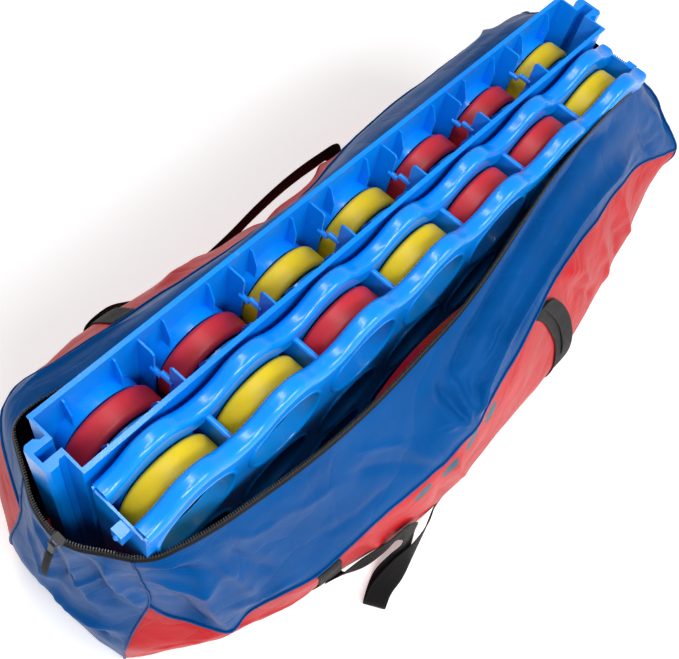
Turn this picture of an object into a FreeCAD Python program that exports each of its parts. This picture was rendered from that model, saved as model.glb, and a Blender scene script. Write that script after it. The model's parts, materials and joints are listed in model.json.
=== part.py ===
import FreeCAD, Part
import math
import os

os.makedirs("parts", exist_ok=True)

# A giant four-in-a-row set packed in its open carry bag. Millimetres, +Z up.
# The origin is the middle of the bag's base on the floor, +X runs along the
# bag towards the end that the release bar slides to, and -Y is the bag's front.
V = FreeCAD.Vector

# ---- discs and the grid of columns --------------------------------------------
COLUMNS = 7
ROWS = 3                     # rows in each half of the board
COLUMN_PITCH = 162.0
DISC_RADIUS = 75.2
DISC_THICKNESS = 40.0
STACK_PITCH = 151.0          # a disc and a small gap
HOLE_RADIUS = 63.0
GRID_LENGTH = COLUMNS * COLUMN_PITCH
GRID_LEFT = -600.0           # inner face of the panels' left end walls
GRID_RIGHT = GRID_LEFT + GRID_LENGTH
SHOULDER = 8.0               # rounding of a disc's edge
FACE_RADIUS = 66.0           # the sunken face of a disc
FACE_DEPTH = 16.0

# ---- both panels -----------------------------------------------------------------
SKIN = 3.5                   # wall of the moulded shells
COLLAR_WALL = 4.0            # ring round each hole, which keeps the disc upright
SLOT_HALF = 23.0             # half the gap that the discs stand in
BOSS_RADIUS = 4.4
SCREW_RADIUS = 1.6
SCREW_HOLE_RADIUS = 1.8
SCREW_REACH = 32.0           # how far a screw runs into the front shell
SCREW_HEAD_RADIUS = 4.0
SCREW_HEAD = 2.4
SEAT_GAP = 0.3               # between things that stand on each other

# ---- lower panel: open joint edge upwards ------------------------------------------
BASE_CLOTH = 3.0             # the bag's stiffened base
LOWER_Y = 92.0
LOWER_Z = BASE_CLOTH + SEAT_GAP
LOWER_HEIGHT = 505.0
LOWER_HALF = 46.8            # half thickness over the skins
LOWER_STACK = 12.0           # discs start above the release bar
FLANGE = 4.0
FLANGE_DEPTH = 3.0
FRONT_FIN = 30.0             # depth of the divider fins from each skin
BACK_FIN = 34.0
BACK_FIN_DROP = 9.0          # the back fins stop below the joint edge
GUSSET_OFFSET = 40.0         # small ribs each side of a column's middle
GUSSET_DEPTH = 16.0
KEY_HALF = 23.0              # the dovetail key on each end wall
KEY_NECK = 17.0
KEY_REACH = 30.0
KEY_SLOT_HALF = 8.0
KEY_WALL = 6.0
LEDGE = 1.6                  # lips that carry the release bar
BAR_HALF = 31.0
BAR_BOTTOM = 2.0
BAR_TOP = 11.4
BAR_BRIDGE = 16.0            # solid stretch under each stack of discs
BAR_SLOT_HALF = 21.5
BAR_GRIP = 24.0

# ---- upper panel: rolled, wavy lips upwards ------------------------------------------
FOOT_HEIGHT = 27.0
UPPER_Y = -14.0
UPPER_Z = BASE_CLOTH + SEAT_GAP + FOOT_HEIGHT + SEAT_GAP
UPPER_HEIGHT = 482.0         # to the tops of the waves
UPPER_HALF = 46.5
UPPER_STACK = 0.5
WAVE = 28.0                  # depth of the dip at each divider
LIP_OUT = 50.0
LIP_IN = 21.5
LIP_DEPTH = 30.0
LIP_ROUND = 10.0
RIM_TUBE = 4.0               # rounded rim round each hole's outside
WEB_HALF = 4.5
WEB_DROP = 44.0              # webs between columns stop below the crests
END_DROP = 38.0              # end walls stop below the crests
PEG = (16.0, 11.0, 26.0)     # latch peg on the end walls

# ---- two feet, stored flat under the upper panel ----------------------------------------
FOOT_LENGTH = 520.0
FOOT_TOP_LENGTH = 300.0
FOOT_WIDTH = 166.0
FOOT_Y = -130.0
FOOT_LEFTS = (-530.0, -4.0)
FOOT_WALL = 4.0
FOOT_SLOT_HALF = 24.0
FOOT_SLOT_DEPTH = 118.0

# ---- bag: levels as (height, left, right, front, back, squareness of 4 quarters) ----------
CLOTH = 3.0
BAG_POINTS = 40
BASE_LEVEL = (0.0, -672.0, 664.0, -180.0, 200.0, (3.2, 4.0, 4.0, 4.4))
BELLY_LEVEL = (85.0, -690.0, 700.0, -268.0, 300.0, (1.9, 2.5, 3.2, 2.6))
SEAM_LEVEL = (325.0, -690.0, 700.0, -225.0, 280.0, (2.1, 3.4, 4.4, 3.0))
MOUTH_LEVEL = (408.0, -672.0, 604.0, -176.0, 225.0, (2.1, 2.2, 4.6, 4.6))
MOUTH_RISE = 72.0            # the mouth climbs towards the right end
END_PANEL = 640.0            # the end panels start this far out
TAPE = 12.0                  # height of the zip tape above the flaps
TAPE_TUCK = 7.0
WEBBING = 40.0
WEBBING_THICK = 2.4
STRAP_XS = (-375.0, 190.0)
STRAP_CLEAR = 3.0            # the webbing stands this far off the cloth
FRONT_HANDLE = (             # middle of the webbing, and the way that its width runs
    ((-375.0, -230.0, 130.0), (1.0, 0.0, 0.0)), ((-368.0, -262.0, 60.0), (1.0, 0.0, 0.1)),
    ((-345.0, -284.0, 6.0), (0.9, -0.6, 0.0)), ((-300.0, -280.0, 4.0), (0.0, -1.0, 0.0)),
    ((-245.0, -276.0, 16.0), (0.0, -0.9, -0.5)), ((-190.0, -263.0, 30.0), (0.0, 0.0, -1.0)),
    ((110.0, -263.0, 30.0), (0.0, 0.0, -1.0)), ((170.0, -276.0, 62.0), (0.6, 0.0, -0.8)),
    ((190.0, -275.0, 130.0), (1.0, 0.0, 0.0)))
BACK_HANDLE = (              # this one leans up against the bag
    ((-375.0, 284.0, 200.0), (1.0, 0.0, 0.0)), ((-356.0, 300.0, 240.0), (0.7, 0.0, -0.7)),
    ((-300.0, 306.0, 262.0), (0.2, 0.0, -1.0)), ((-200.0, 310.0, 272.0), (0.0, 0.0, -1.0)),
    ((0.0, 310.0, 272.0), (0.0, 0.0, -1.0)), ((110.0, 308.0, 262.0), (-0.2, 0.0, -1.0)),
    ((170.0, 306.0, 240.0), (-0.7, 0.0, -0.7)), ((190.0, 304.0, 200.0), (-1.0, 0.0, 0.0)))

# ---- zip slider -----------------------------------------------------------------------
SLIDER = (11.0, 16.0, 7.0)   # its size along x, y and z
SLIDER_X = -663.0
SLIDER_Y = 28.0
SLIDER_CLEAR = 2.0           # it rides this far above the tape
PULL_LENGTH = 18.0
PULL_WIDTH = 8.0
PULL_LEAN = 16.0             # degrees that the hanging pull leans out from upright
TAB_LENGTH = 42.0
TAB_WIDTH = 12.0
PIN_RADIUS = 1.2
PIN_OUT = 4.0                # hinge line of the pull, outside the slider


def box(x0, x1, y0, y1, z0, z1):
    return Part.makeBox(x1 - x0, y1 - y0, z1 - z0, V(x0, y0, z0))


def fused(shapes):
    whole = shapes[0].multiFuse(shapes[1:]) if len(shapes) > 1 else shapes[0]
    return whole.removeSplitter()


def cylinder_y(x, z, radius, y0, y1):
    return Part.makeCylinder(radius, y1 - y0, V(x, y0, z), V(0, 1, 0))


def ring_y(x, z, outer, inner, y0, y1):
    return cylinder_y(x, z, outer, y0, y1).cut(cylinder_y(x, z, inner, y0, y1))


def prism(points, direction):
    return Part.Face(Part.makePolygon(points + points[:1])).extrude(direction)


def mirror_y(shape):
    return shape.mirror(V(0, 0, 0), V(0, 1, 0))


def save(name, shape):
    shape.exportStep(f"parts/{name}.step")


def column_x(column):
    return GRID_LEFT + (column + 0.5) * COLUMN_PITCH


def divider_x(divider):
    return GRID_LEFT + divider * COLUMN_PITCH


def hole_centres(stack):
    return [(column_x(column), stack + (row + 0.5) * STACK_PITCH)
            for column in range(COLUMNS) for row in range(ROWS)]


def screw_places(stack):
    """Two screws in each divider, level with the gaps between the discs."""
    return [(divider_x(divider), stack + level * STACK_PITCH)
            for divider in range(1, COLUMNS) for level in (1, 2)]


def plate(half, height, stack):
    """The front skin of a panel with its holes, outer face at y = -half."""
    face = Part.Face(Part.makePolygon([
        V(GRID_LEFT - SKIN, -half, 0), V(GRID_RIGHT + SKIN, -half, 0),
        V(GRID_RIGHT + SKIN, -half, height), V(GRID_LEFT - SKIN, -half, height),
        V(GRID_LEFT - SKIN, -half, 0)]))
    holes = [cylinder_y(x, z, HOLE_RADIUS, -half - SKIN, -half + 2 * SKIN)
             for x, z in hole_centres(stack)]
    return face.extrude(V(0, SKIN, 0)).cut(Part.makeCompound(holes))


def collars(half, stack):
    return [ring_y(x, z, HOLE_RADIUS + COLLAR_WALL, HOLE_RADIUS, -half + SKIN / 2, -SLOT_HALF)
            for x, z in hole_centres(stack)]


def bosses(half, stack):
    return [cylinder_y(x, z, BOSS_RADIUS, -half + SKIN / 2, 0) for x, z in screw_places(stack)]


def screw_holes(stack, deep):
    return Part.makeCompound([cylinder_y(x, z, SCREW_HOLE_RADIUS, -deep, 0)
                              for x, z in screw_places(stack)])


def screws(half, stack):
    """Long pan-head screws, put in from the back shell."""
    made = []
    for x, z in screw_places(stack):
        shank = cylinder_y(x, z, SCREW_RADIUS, -SCREW_REACH, half)
        head = cylinder_y(x, z, SCREW_HEAD_RADIUS, half, half + SCREW_HEAD)
        made.append(shank.fuse(head))
    return Part.makeCompound(made)


# ---- lower panel ----------------------------------------------------------------------
def key_outline(side, end):
    """Half of a hollow dovetail key: the y < 0 half, drawn on the end wall."""
    out = end + side * KEY_REACH
    points = [V(end, -KEY_NECK, 0), V(end + side * 8, -KEY_NECK, 0),
              V(end + side * 13, -KEY_HALF, 0), V(out - side * 5, -KEY_HALF, 0),
              V(out, -KEY_HALF + 5, 0), V(out, 0, 0),
              V(out - side * KEY_WALL, 0, 0), V(out - side * KEY_WALL, -KEY_SLOT_HALF, 0),
              V(end - side * SKIN, -KEY_SLOT_HALF, 0), V(end - side * SKIN, -KEY_NECK, 0)]
    return points


def lower_end(side, end):
    """Half an end wall with its key; the release bar passes under the key."""
    wall = box(min(end, end + side * SKIN), max(end, end + side * SKIN),
               -LOWER_HALF, -KEY_SLOT_HALF, 0, LOWER_HEIGHT)
    key = prism([p + V(0, 0, 2 * LOWER_STACK) for p in key_outline(side, end + side * SKIN)],
                V(0, 0, LOWER_HEIGHT - 2 * LOWER_STACK))
    gate = box(end - 9, end + 9, -BAR_HALF - 0.8, 1, LEDGE, LOWER_STACK + 0.4)
    return wall.cut(gate).fuse(key)


def lower_fin(divider, depth, drop):
    """A divider fin that steps in to the screw boss."""
    x = divider_x(divider)
    foot = LOWER_STACK + 1
    top = LOWER_HEIGHT - drop
    points = [V(x - 1.5, -LOWER_HALF + 1, foot), V(x - 1.5, -LOWER_HALF + depth, foot),
              V(x - 1.5, -LOWER_HALF + depth, top - 4), V(x - 1.5, -LOWER_HALF + depth - 4, top),
              V(x - 1.5, -LOWER_HALF + 1, top)]
    fin = prism(points, V(3, 0, 0))
    peg = cylinder_y(x, top - 42, BOSS_RADIUS, -LOWER_HALF + depth - 6, -0.5)
    return fin.fuse(peg)


def lower_gusset(x):
    """A thin rib that braces the skin above a collar."""
    points = [V(x - 1.2, -LOWER_HALF + 1, LOWER_HEIGHT - 8),
              V(x - 1.2, -LOWER_HALF + SKIN + 5, LOWER_HEIGHT - 8),
              V(x - 1.2, -LOWER_HALF + SKIN + GUSSET_DEPTH, LOWER_HEIGHT - 34),
              V(x - 1.2, -LOWER_HALF + SKIN + GUSSET_DEPTH, LOWER_HEIGHT - 66),
              V(x - 1.2, -LOWER_HALF + 1, LOWER_HEIGHT - 66)]
    return prism(points, V(2.4, 0, 0))


def lower_half_shell(depth, drop):
    """The half of the lower panel on the y < 0 side, in its own frame."""
    parts = [plate(LOWER_HALF, LOWER_HEIGHT, LOWER_STACK)]
    parts += collars(LOWER_HALF, LOWER_STACK)
    parts += bosses(LOWER_HALF, LOWER_STACK)
    parts += [lower_fin(divider, depth, drop) for divider in range(1, COLUMNS)]
    for column in range(COLUMNS):
        parts += [lower_gusset(column_x(column) + side * GUSSET_OFFSET) for side in (-1, 1)]
    parts += [lower_end(-1, GRID_LEFT), lower_end(1, GRID_RIGHT)]
    parts.append(box(GRID_LEFT - SKIN, GRID_RIGHT + SKIN, -LOWER_HALF - FLANGE, -LOWER_HALF + 1,
                     LOWER_HEIGHT - FLANGE_DEPTH, LOWER_HEIGHT))
    parts.append(box(GRID_LEFT, GRID_RIGHT, -LOWER_HALF + 1, -BAR_SLOT_HALF, 0, LEDGE))
    return fused(parts).cut(screw_holes(LOWER_STACK, LOWER_HALF - SKIN - 1))


def release_bar():
    """A ladder under the discs: its bridges carry them, its gaps let them fall."""
    bar = box(GRID_LEFT + 2, GRID_RIGHT - 1, -BAR_HALF, BAR_HALF, BAR_BOTTOM, BAR_TOP)
    gaps = []
    for column in range(COLUMNS + 1):
        left = divider_x(column) - (COLUMN_PITCH - BAR_BRIDGE) / 2
        gaps.append(box(max(left, GRID_LEFT + 12), min(left + COLUMN_PITCH - BAR_BRIDGE, GRID_RIGHT - 12),
                        -BAR_SLOT_HALF, BAR_SLOT_HALF, 0, LOWER_STACK))
    bar = bar.cut(Part.makeCompound(gaps))
    grip = box(GRID_RIGHT - 2, GRID_RIGHT + BAR_GRIP, -20, 20, BAR_BOTTOM, BAR_TOP)
    finger_hole = Part.makeCylinder(6, 20, V(GRID_RIGHT + 13, 0, 0))
    return bar.fuse(grip).cut(finger_hole).removeSplitter()


def build_lower_panel():
    place = V(0, LOWER_Y, LOWER_Z)
    front = lower_half_shell(FRONT_FIN, 0)
    back = mirror_y(lower_half_shell(BACK_FIN, BACK_FIN_DROP))
    clear = Part.makeCompound([cylinder_y(x, z, SCREW_HOLE_RADIUS, 0, LOWER_HALF + 1)
                               for x, z in screw_places(LOWER_STACK)])
    save("lower_panel_front_shell", front.translated(place))
    save("lower_panel_back_shell", back.cut(clear).translated(place))
    save("lower_panel_screws", screws(LOWER_HALF, LOWER_STACK).translated(place))
    save("release_bar", release_bar().translated(place))


# ---- upper panel ----------------------------------------------------------------------
def wave_edges(y, top):
    """Tangent arcs along the lip: a crest over each column, a dip at each divider.

    They run half a column past both ends, so that they start and stop on a crest.
    """
    half = COLUMN_PITCH / 2
    turn = 2 * math.atan(WAVE / half)
    radius = half / (2 * math.sin(turn))
    edges = []
    for step in range(2 * COLUMNS + 2):
        x0 = GRID_LEFT + (step - 1) * half
        falling = step % 2 == 0
        high, low = V(0, y, top), V(0, y, top - WAVE)
        start, stop = (high, low) if falling else (low, high)
        a = V(x0, y, start.z)
        c = V(x0 + half, y, stop.z)
        middle = (a + c) * 0.5
        bend = radius * (1 - math.cos(turn / 2))
        along = radius * math.sin(turn / 2)
        way = -1 if falling else 1
        first = V(x0 + along, y, start.z + way * bend)
        second = V(x0 + half - along, y, stop.z - way * bend)
        edges += [Part.Arc(a, first, middle).toShape(), Part.Arc(middle, second, c).toShape()]
    return edges


def wave_band(y0, y1, top, depth):
    """A wavy band of constant depth, from y0 to y1."""
    upper = wave_edges(y0, top)
    lower = wave_edges(y0, top - depth)
    ends = [Part.LineSegment(V(x, y0, top), V(x, y0, top - depth)).toShape()
            for x in (GRID_LEFT - COLUMN_PITCH / 2, GRID_RIGHT + COLUMN_PITCH / 2)]
    wire = Part.Wire(Part.__sortEdges__(upper + lower + ends))
    return Part.Face(wire).extrude(V(0, y1 - y0, 0))


def lip():
    """A rolled lip: a rounded band, hollow underneath."""
    band = wave_band(-LIP_OUT, -LIP_IN, UPPER_HEIGHT, LIP_DEPTH)
    rounded = [edge for edge in band.Edges
               if isinstance(edge.Curve, Part.Circle)
               and edge.CenterOfMass.z > UPPER_HEIGHT - WAVE - 1.5]
    band = band.makeFillet(LIP_ROUND, rounded)
    hollow = wave_band(-LIP_OUT + SKIN + 2, -LIP_IN - SKIN - 1, UPPER_HEIGHT - 5, LIP_DEPTH)
    return band.cut(hollow)


def over_columns(shape):
    return shape.common(box(GRID_LEFT, GRID_RIGHT, -UPPER_HALF - LIP_OUT, 0, 0, 2 * UPPER_HEIGHT))


def upper_half_shell():
    """The half of the upper panel on the y < 0 side, in its own frame."""
    skin = wave_band(-UPPER_HALF, -UPPER_HALF + SKIN, UPPER_HEIGHT - LIP_ROUND, LIP_DEPTH)
    parts = [plate(UPPER_HALF, UPPER_HEIGHT - WAVE - 4, UPPER_STACK)]
    parts += [over_columns(skin), over_columns(lip())]
    parts += collars(UPPER_HALF, UPPER_STACK)
    parts += bosses(UPPER_HALF, UPPER_STACK)
    for x, z in hole_centres(UPPER_STACK):
        rim = Part.makeTorus(HOLE_RADIUS + RIM_TUBE, RIM_TUBE, V(x, -UPPER_HALF + 0.8, z), V(0, 1, 0))
        parts.append(rim)
    for divider in range(1, COLUMNS):
        x = divider_x(divider)
        web = box(x - WEB_HALF, x + WEB_HALF, -UPPER_HALF + 1, 0, 0, UPPER_HEIGHT - WEB_DROP)
        rounded = [edge for edge in web.Edges
                   if edge.CenterOfMass.z > UPPER_HEIGHT - WEB_DROP - 0.1
                   and abs(edge.CenterOfMass.x - x) > 1]
        parts.append(web.makeFillet(WEB_HALF - 0.6, rounded))
    top = UPPER_HEIGHT - END_DROP
    parts.append(box(GRID_LEFT - SKIN, GRID_LEFT, -UPPER_HALF, 0, 0, top))
    parts.append(box(GRID_RIGHT, GRID_RIGHT + SKIN, -UPPER_HALF, 0, 0, top))
    return fused(parts).cut(screw_holes(UPPER_STACK, UPPER_HALF - SKIN - 1))


def peg(side, end):
    """The latch peg that stands out of the front half of an end wall."""
    reach, half_width, height = PEG
    low = UPPER_HEIGHT - END_DROP - height - 4
    x0, x1 = sorted((end, end + side * reach))
    block = box(x0, x1, -2 * half_width, -4, low, low + height)
    knob = Part.makeSphere(4.0, V(end + side * (reach + 1), -half_width - 4, low + height - 6))
    return block.fuse(knob)


def build_upper_panel():
    place = V(0, UPPER_Y, UPPER_Z)
    front = upper_half_shell()
    back = mirror_y(front)
    front = front.multiFuse([peg(-1, GRID_LEFT - SKIN), peg(1, GRID_RIGHT + SKIN)])
    clear = Part.makeCompound([cylinder_y(x, z, SCREW_HOLE_RADIUS, 0, UPPER_HALF + 1)
                               for x, z in screw_places(UPPER_STACK)])
    save("upper_panel_front_shell", front.translated(place))
    save("upper_panel_back_shell", back.cut(clear).translated(place))
    save("upper_panel_screws", screws(UPPER_HALF, UPPER_STACK).translated(place))


# ---- discs ----------------------------------------------------------------------------
def disc(x, y, z):
    """A playing disc standing on its edge, with both faces sunk inside the rim."""
    half = DISC_THICKNESS / 2
    body = cylinder_y(x, z, DISC_RADIUS, y - half, y + half)
    body = body.makeFillet(SHOULDER, [e for e in body.Edges if len(e.Vertexes) == 1])
    for face in (-1, 1):
        y0, y1 = sorted((y + face * (half - FACE_DEPTH), y + face * (half + 1)))
        sunk = cylinder_y(x, z, FACE_RADIUS, y0, y1)
        floor_edge = [e for e in sunk.Edges if len(e.Vertexes) == 1
                      and abs(e.CenterOfMass.y - y) < half - 1]
        body = body.cut(sunk.makeFillet(4.0, floor_edge))
    return body


def build_discs(panel, y, z):
    """One node for each top disc, and one for the two discs under it."""
    for column in range(COLUMNS):
        x = column_x(column)
        stack = [disc(x, y, z + (row + 0.5) * STACK_PITCH) for row in range(ROWS)]
        save(f"{panel}_top_disc_{column + 1}", stack[-1])
        save(f"{panel}_disc_pair_{column + 1}", Part.makeCompound(stack[:-1]))


# ---- feet -----------------------------------------------------------------------------
def foot(left):
    """A tapered foot lying flat, closed face up, with the slot for a dovetail key."""
    z = BASE_CLOTH + SEAT_GAP
    taper = (FOOT_LENGTH - FOOT_TOP_LENGTH) / 2
    middle = left + FOOT_LENGTH / 2
    back = FOOT_Y + FOOT_WIDTH
    outline = [V(left, FOOT_Y, z), V(left + FOOT_LENGTH, FOOT_Y, z),
               V(left + FOOT_LENGTH, back - 40, z), V(left + FOOT_LENGTH - taper / 4, back, z),
               V(left + taper / 4, back, z), V(left, back - 40, z)]
    body = prism(outline, V(0, 0, FOOT_HEIGHT))
    slot = box(middle - FOOT_SLOT_HALF, middle + FOOT_SLOT_HALF, back - FOOT_SLOT_DEPTH, back + 1,
               z - 1, z + FOOT_HEIGHT + 1)
    hollows = []
    for x0, x1 in ((left + FOOT_WALL, middle - FOOT_SLOT_HALF - FOOT_WALL),
                   (middle + FOOT_SLOT_HALF + FOOT_WALL, left + FOOT_LENGTH - FOOT_WALL)):
        cell = (x1 - x0 - FOOT_WALL) / 2
        for start in (x0, x0 + cell + FOOT_WALL):
            hollows.append(box(start, start + cell, FOOT_Y + FOOT_WALL, back - 44,
                               z - 1, z + FOOT_HEIGHT - FOOT_WALL))
    return body.cut(Part.makeCompound([slot] + hollows))


def build_feet():
    for name, left in zip(("left_foot", "right_foot"), FOOT_LEFTS):
        save(name, foot(left))


# ---- bag ------------------------------------------------------------------------------
def outline(level, inset=0.0, lift=0.0):
    """A closed bag outline: four quarter superellipses round the origin."""
    height, left, right, front, back, squareness = level
    rise = MOUTH_RISE if level is MOUTH_LEVEL else 0.0
    points = []
    for step in range(BAG_POINTS):
        angle = 2 * math.pi * (step + 0.5) / BAG_POINTS
        c, s = math.cos(angle), math.sin(angle)
        quarter = (1 if c > 0 else 0) if s < 0 else (2 if c > 0 else 3)
        power = 2.0 / squareness[quarter]
        along = right - inset if c > 0 else -left - inset
        across = back - inset if s > 0 else -front - inset
        x = along * math.copysign(abs(c) ** power, c)
        y = across * math.copysign(abs(s) ** power, s)
        climb = rise * (x - left) / (right - left)
        points.append(V(x, y, height + climb + lift))
    return Part.makePolygon(points + points[:1])


def wall(rings):
    """The cloth between two or more outlines: outer loft less inner loft."""
    outer = Part.makeLoft([outline(level, inset, lift) for level, inset, lift in rings], True, True)
    inner = Part.makeLoft([outline(level, inset + CLOTH, lift) for level, inset, lift in rings],
                          True, True)
    return outer.cut(inner)


def build_bag():
    far = 2 * END_PANEL
    base_ring = outline(BASE_LEVEL)
    base = Part.Face(base_ring).extrude(V(0, 0, BASE_CLOTH))
    save("bag_base", base)
    start = (BASE_LEVEL, 0.0, BASE_CLOTH)
    sides = wall([start, (BELLY_LEVEL, 0.0, 0.0), (SEAM_LEVEL, 0.0, 0.0)])
    top = wall([(SEAM_LEVEL, 0.0, 0.0), (MOUTH_LEVEL, 0.0, 0.0)])
    front_half = box(-END_PANEL, END_PANEL, -far, 0, -1, far)
    back_half = box(-END_PANEL, END_PANEL, 0, far, -1, far)
    save("bag_front_side", sides.common(front_half))
    save("bag_back_side", sides.common(back_half))
    save("bag_front_flap", top.common(box(-far, far, -far, 0, -1, far)))
    save("bag_back_flap", top.common(box(-far, far, 0, far, -1, far)))
    save("bag_left_end", sides.common(box(-far, -END_PANEL, -far, far, -1, far)))
    save("bag_right_end", sides.common(box(END_PANEL, far, -far, far, -1, far)))
    tape = wall([(MOUTH_LEVEL, 0.0, 0.0), (MOUTH_LEVEL, TAPE_TUCK, TAPE)])
    save("zip_tape_front", tape.common(box(-far, far, -far, 0, -1, far)))
    save("zip_tape_back", tape.common(box(-far, far, 0, far, -1, far)))


def side_reach(level, x, front):
    """How far a bag outline reaches out at x, on its front or its back."""
    left, right, front_y, back_y, squareness = level[1:]
    quarter = (1 if x > 0 else 0) if front else (2 if x > 0 else 3)
    power = squareness[quarter]
    share = abs(x) / (right if x > 0 else -left)
    reach = (1 - share ** power) ** (1 / power)
    return (front_y if front else back_y) * reach


def strap(x, front):
    """A band of webbing up one side of the bag, just outside the cloth."""
    way = -1 if front else 1
    inner, outer = [], []
    for level in (BASE_LEVEL, BELLY_LEVEL, SEAM_LEVEL):
        edges = [side_reach(level, x + side * WEBBING / 2, front) for side in (-1, 1)]
        y = way * (max(abs(edge) for edge in edges) + STRAP_CLEAR)
        z = max(level[0], WEBBING_THICK)
        inner.append(V(x - WEBBING / 2, y, z))
        outer.append(V(x - WEBBING / 2, y + way * WEBBING_THICK, z))
    return prism(inner + outer[::-1], V(WEBBING, 0, 0))


def handle(route):
    """Flat webbing through the points of a route, its width turning as listed."""
    rings = []
    points = [V(*point) for point, width in route]
    for number, (point, width) in enumerate(route):
        before = points[max(number - 1, 0)]
        after = points[min(number + 1, len(points) - 1)]
        across = V(*width).normalize() * (WEBBING / 2)
        thick = across.cross(after - before).normalize() * (WEBBING_THICK / 2)
        middle = points[number]
        corners = [middle - across - thick, middle + across - thick,
                   middle + across + thick, middle - across + thick]
        rings.append(Part.makePolygon(corners + corners[:1]))
    return Part.makeLoft(rings, True, True)


def build_webbing():
    save("webbing_straps", Part.makeCompound([strap(x, front) for x in STRAP_XS
                                              for front in (True, False)]))
    save("front_handle", handle(FRONT_HANDLE))
    save("back_handle", handle(BACK_HANDLE))


def build_zip_slider():
    length, width, height = SLIDER
    floor = MOUTH_LEVEL[0] + TAPE + SLIDER_CLEAR
    body = box(SLIDER_X - length / 2, SLIDER_X + length / 2, SLIDER_Y - width / 2,
               SLIDER_Y + width / 2, floor, floor + height)
    body = body.makeFillet(2.0, [e for e in body.Edges if abs(e.CenterOfMass.z - floor - height / 2) < 1])
    middle = floor + height / 2
    pin_x = SLIDER_X - length / 2 - PIN_OUT
    half_pull = PULL_WIDTH / 2
    ears = []
    for side in (-1, 1):
        y0, y1 = sorted((SLIDER_Y + side * (half_pull + 0.4), SLIDER_Y + side * (half_pull + 2.0)))
        ear = box(pin_x - 2.2, SLIDER_X - length / 2 + 1, y0, y1, middle - 2.2, middle + 2.2)
        ears.append(ear)
    pin = cylinder_y(pin_x, middle, PIN_RADIUS, SLIDER_Y - half_pull - 1, SLIDER_Y + half_pull + 1)
    save("zip_slider", body.multiFuse(ears + [pin]))
    lean = FreeCAD.Rotation(V(0, 1, 0), PULL_LEAN)
    pivot = V(pin_x, SLIDER_Y, middle)
    ring = box(-1.9, 1.9, -half_pull, half_pull, -PULL_LENGTH, 2.0)
    eye = cylinder_y(0, 0, PIN_RADIUS + 0.06, -half_pull - 1, half_pull + 1)
    tab = box(-1.5, 1.5, -TAB_WIDTH / 2, TAB_WIDTH / 2, -PULL_LENGTH - TAB_LENGTH, -PULL_LENGTH)
    for name, shape in (("zip_pull", ring.cut(eye)), ("zip_pull_tab", tab)):
        shape.Placement = FreeCAD.Placement(pivot, lean).multiply(shape.Placement)
        save(name, shape)


build_lower_panel()
build_upper_panel()
build_discs("lower", LOWER_Y, LOWER_Z + LOWER_STACK)
build_discs("upper", UPPER_Y, UPPER_Z + UPPER_STACK)
build_feet()
build_bag()
build_webbing()
build_zip_slider()
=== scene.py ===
import json
import math

import bpy
import numpy as np
from mathutils import Matrix, Vector, noise


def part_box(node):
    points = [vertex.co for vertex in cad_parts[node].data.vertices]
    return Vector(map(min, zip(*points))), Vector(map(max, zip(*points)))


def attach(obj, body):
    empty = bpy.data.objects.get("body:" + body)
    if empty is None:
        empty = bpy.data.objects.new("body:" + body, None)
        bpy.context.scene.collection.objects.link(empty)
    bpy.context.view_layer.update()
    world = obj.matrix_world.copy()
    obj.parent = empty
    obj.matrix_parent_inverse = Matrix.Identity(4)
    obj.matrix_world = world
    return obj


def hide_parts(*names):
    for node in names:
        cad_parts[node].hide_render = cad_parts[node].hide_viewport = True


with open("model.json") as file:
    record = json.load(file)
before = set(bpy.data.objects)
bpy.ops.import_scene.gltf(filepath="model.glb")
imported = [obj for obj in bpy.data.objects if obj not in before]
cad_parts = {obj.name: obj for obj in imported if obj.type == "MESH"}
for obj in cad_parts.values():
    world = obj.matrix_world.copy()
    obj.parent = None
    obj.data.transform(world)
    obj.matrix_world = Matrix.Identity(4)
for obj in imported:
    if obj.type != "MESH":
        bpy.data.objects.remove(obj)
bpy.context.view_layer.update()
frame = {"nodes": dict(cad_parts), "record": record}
nodes = frame["nodes"]
scene = bpy.context.scene
scene.view_settings.view_transform = "Standard"
MM = 0.001


# ---- camera, floor and light ------------------------------------------------------------
CAMERA_PLACE = Vector((-0.7912, -0.3115, 1.5408))
CAMERA_AZIMUTH, CAMERA_ELEVATION, CAMERA_ROLL = (math.radians(a) for a in (-63.3, 59.3, 17.4))
CAMERA_LENS, CAMERA_SENSOR = 48.57, 36.0
FLOOR_SPAN = 14.0
FLOOR_TONE, FLOOR_ROUGHNESS, FLOOR_GLOW = 0.93, 0.9, 0.32
SKY_LOW, SKY_HIGH, SKY_HIGH_FROM = 0.92, 0.30, 0.45      # how bright, by height over the horizon
LIGHTS = (                   # name, place, target, size and watts
    ("key", (0.6, -1.9, 2.4), (0, 0, 0.3), (1.5, 0.6), 40),
    ("near", (-0.9, -1.1, 1.9), (-0.1, 0, 0.3), (1.0, 0.3), 22),
    ("top", (-0.4, 0.3, 2.7), (0, 0, 0.3), (1.6, 0.25), 20))


def make_camera():
    back = Vector((math.sin(CAMERA_AZIMUTH) * math.cos(CAMERA_ELEVATION),
                   -math.cos(CAMERA_AZIMUTH) * math.cos(CAMERA_ELEVATION),
                   math.sin(CAMERA_ELEVATION)))
    level_right = Vector((0, 0, 1)).cross(back).normalized()
    level_up = back.cross(level_right)
    right = level_right * math.cos(CAMERA_ROLL) + level_up * math.sin(CAMERA_ROLL)
    up = level_up * math.cos(CAMERA_ROLL) - level_right * math.sin(CAMERA_ROLL)
    data = bpy.data.cameras.new("camera")
    data.lens = CAMERA_LENS
    data.sensor_width = CAMERA_SENSOR
    camera = bpy.data.objects.new("camera", data)
    scene.collection.objects.link(camera)
    turn = Matrix((right, up, back)).transposed().to_4x4()
    camera.matrix_world = Matrix.Translation(CAMERA_PLACE) @ turn
    scene.camera = camera


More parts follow.
